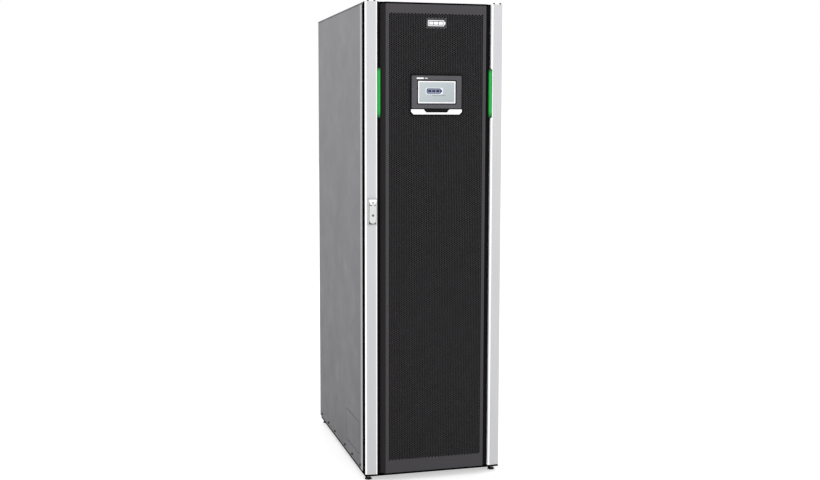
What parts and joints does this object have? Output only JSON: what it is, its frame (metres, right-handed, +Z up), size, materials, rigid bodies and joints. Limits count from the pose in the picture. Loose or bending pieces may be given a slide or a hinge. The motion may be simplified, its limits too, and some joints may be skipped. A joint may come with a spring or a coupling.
{
  "type": "floor-standing battery cabinet",
  "caption": "Tall floor-standing battery cabinet with a perforated hinged front door, touch display, green light bars, silver pillars, swing-handle lock, levelling feet and castors.",
  "frame": {"origin": "on the floor, under the middle of the cabinet's overall box", "axes": "+Z up, -Y towards the front door, +X to the right when facing the door's outside"},
  "size_m": [0.563, 0.94, 1.876],
  "materials": {
    "frame_black": "satin powder coat",
    "panel_grey": "satin powder coat",
    "trim_grey": "satin powder coat",
    "roof_grey": "satin powder coat",
    "silver": "satin silver paint",
    "bezel_grey": "satin powder coat",
    "filter_foam": "open foam",
    "light_green": "clear green",
    "display_plastic": "moulded",
    "screen_glass": "gloss",
    "white_plastic": "gloss",
    "zinc": "zinc plated",
    "black_steel": "blackened",
    "module_steel": "satin powder coat",
    "cell_plastic": "moulded",
    "black_plastic": "moulded",
    "red_plastic": "moulded",
    "cable_rubber": "matt",
    "copper": "bare copper",
    "insulator": "moulded",
    "breaker_plastic": "moulded",
    "wheel_tread": "grey tread",
    "die_cast": "satin"
  },
  "bodies": {
    "cabinet": {"base_frame": "frame_black", "cabinet_frame": "frame_black", "frame_braces": "zinc", "roof_panel": "roof_grey", "left_side_panel": "panel_grey", "right_side_panel": "panel_grey", "cover_plates": "panel_grey", "corner_trims": "trim_grey", "rear_panel": "panel_grey", "panel_screws": "black_steel", "hinge_brackets": "zinc", "mounting_rails": "zinc", "castor_mounts": "zinc", "battery_module_1": "module_steel", "battery_module_2": "module_steel", "battery_module_3": "module_steel", "battery_module_4": "module_steel", "cell_blocks": "cell_plastic", "module_handles": "black_plastic", "module_connectors": "red_plastic", "interlink_cables": "cable_rubber", "busbar_positive": "copper", "busbar_negative": "copper", "busbar_supports": "insulator", "control_unit": "module_steel", "breaker_body": "breaker_plastic", "power_modules": "module_steel", "fan_tray": "module_steel"},
    "door": {"door_frame": "frame_black", "door_bezel": "bezel_grey", "door_sheet": "bezel_grey", "dust_filter": "filter_foam", "pillar_left": "silver", "pillar_right": "silver", "light_bars": "light_green", "badge": "white_plastic", "display_housing": "display_plastic", "display_screen": "screen_glass", "display_trim": "white_plastic", "hinge_pins": "zinc", "pillar_screws": "black_steel", "lock_escutcheon": "die_cast"},
    "lock_spindle": {"lock_spindle": "die_cast"},
    "lock_handle": {"lock_handle": "die_cast"},
    "key_cylinder": {"key_cylinder": "black_steel"},
    "latch_rod_upper": {"latch_rod_upper": "zinc"},
    "latch_rod_lower": {"latch_rod_lower": "zinc"},
    "breaker_toggle": {"breaker_toggle": "breaker_plastic"},
    "fan_rotor_left": {"fan_rotor_left": "black_plastic"},
    "fan_rotor_right": {"fan_rotor_right": "black_plastic"},
    "levelling_foot_front_left": {"levelling_foot_front_left": "zinc"},
    "levelling_foot_rear_left": {"levelling_foot_rear_left": "zinc"},
    "levelling_foot_front_right": {"levelling_foot_front_right": "zinc"},
    "levelling_foot_rear_right": {"levelling_foot_rear_right": "zinc"},
    "castor_fork_left": {"castor_fork_left": "zinc"},
    "castor_wheel_front_left": {"castor_wheel_front_left": "wheel_tread"},
    "castor_wheel_rear_left": {"castor_wheel_rear_left": "wheel_tread"},
    "castor_fork_right": {"castor_fork_right": "zinc"},
    "castor_wheel_front_right": {"castor_wheel_front_right": "wheel_tread"},
    "castor_wheel_rear_right": {"castor_wheel_rear_right": "wheel_tread"}
  },
  "joints": [
    {"name": "door_hinge", "type": "hinge", "parent": "cabinet", "child": "door", "pos_m": [0.267, -0.432, 0.95], "axis": [0, 0, 1], "range_deg": [0, 110]},
    {"name": "handle_turn", "type": "hinge", "parent": "door", "child": "lock_spindle", "pos_m": [-0.2517, -0.444, 1.104], "axis": [0, 1, 0], "range_deg": [0, 90]},
    {"name": "handle_tilt", "type": "hinge", "parent": "lock_spindle", "child": "lock_handle", "pos_m": [-0.2517, -0.458, 1.101], "axis": [-1, 0, 0], "range_deg": [0, 25]},
    {"name": "key_turn", "type": "hinge", "parent": "lock_handle", "child": "key_cylinder", "pos_m": [-0.2517, -0.456, 1.056], "axis": [0, 1, 0], "range_deg": [0, 90]},
    {"name": "upper_rod_slide", "type": "slide", "parent": "door", "child": "latch_rod_upper", "axis": [0, 0, 1], "range_m": [-0.012, 0]},
    {"name": "lower_rod_slide", "type": "slide", "parent": "door", "child": "latch_rod_lower", "axis": [0, 0, 1], "range_m": [0, 0.012]},
    {"name": "breaker_throw", "type": "hinge", "parent": "cabinet", "child": "breaker_toggle", "pos_m": [0, -0.378, 1.1], "axis": [1, 0, 0], "range_deg": [0, 50]},
    {"name": "fan_spin_left", "type": "hinge", "parent": "cabinet", "child": "fan_rotor_left", "pos_m": [-0.11, -0.344, 1.602], "axis": [0, 1, 0], "continuous": true},
    {"name": "fan_spin_right", "type": "hinge", "parent": "cabinet", "child": "fan_rotor_right", "pos_m": [0.11, -0.344, 1.602], "axis": [0, 1, 0], "continuous": true},
    {"name": "foot_level_front_left", "type": "slide", "parent": "cabinet", "child": "levelling_foot_front_left", "axis": [0, 0, 1], "range_m": [-0.025, 0.01]},
    {"name": "foot_level_rear_left", "type": "slide", "parent": "cabinet", "child": "levelling_foot_rear_left", "axis": [0, 0, 1], "range_m": [-0.025, 0.01]},
    {"name": "foot_level_front_right", "type": "slide", "parent": "cabinet", "child": "levelling_foot_front_right", "axis": [0, 0, 1], "range_m": [-0.025, 0.01]},
    {"name": "foot_level_rear_right", "type": "slide", "parent": "cabinet", "child": "levelling_foot_rear_right", "axis": [0, 0, 1], "range_m": [-0.025, 0.01]},
    {"name": "castor_swivel_left", "type": "hinge", "parent": "cabinet", "child": "castor_fork_left", "pos_m": [-0.18, -0.31, 0.06], "axis": [0, 0, 1], "continuous": true},
    {"name": "castor_roll_front_left", "type": "hinge", "parent": "castor_fork_left", "child": "castor_wheel_front_left", "pos_m": [-0.18, -0.288, 0.028], "axis": [1, 0, 0], "continuous": true},
    {"name": "castor_roll_rear_left", "type": "hinge", "parent": "cabinet", "child": "castor_wheel_rear_left", "pos_m": [-0.18, 0.375, 0.028], "axis": [1, 0, 0], "continuous": true},
    {"name": "castor_swivel_right", "type": "hinge", "parent": "cabinet", "child": "castor_fork_right", "pos_m": [0.18, -0.31, 0.06], "axis": [0, 0, 1], "continuous": true},
    {"name": "castor_roll_front_right", "type": "hinge", "parent": "castor_fork_right", "child": "castor_wheel_front_right", "pos_m": [0.18, -0.288, 0.028], "axis": [1, 0, 0], "continuous": true},
    {"name": "castor_roll_rear_right", "type": "hinge", "parent": "cabinet", "child": "castor_wheel_rear_right", "pos_m": [0.18, 0.375, 0.028], "axis": [1, 0, 0], "continuous": true}
  ],
  "couplings": [
    {"joint": "upper_rod_slide", "follows": "handle_turn", "m_per_rad": -0.0076},
    {"joint": "lower_rod_slide", "follows": "handle_turn", "m_per_rad": 0.0076}
  ]
}
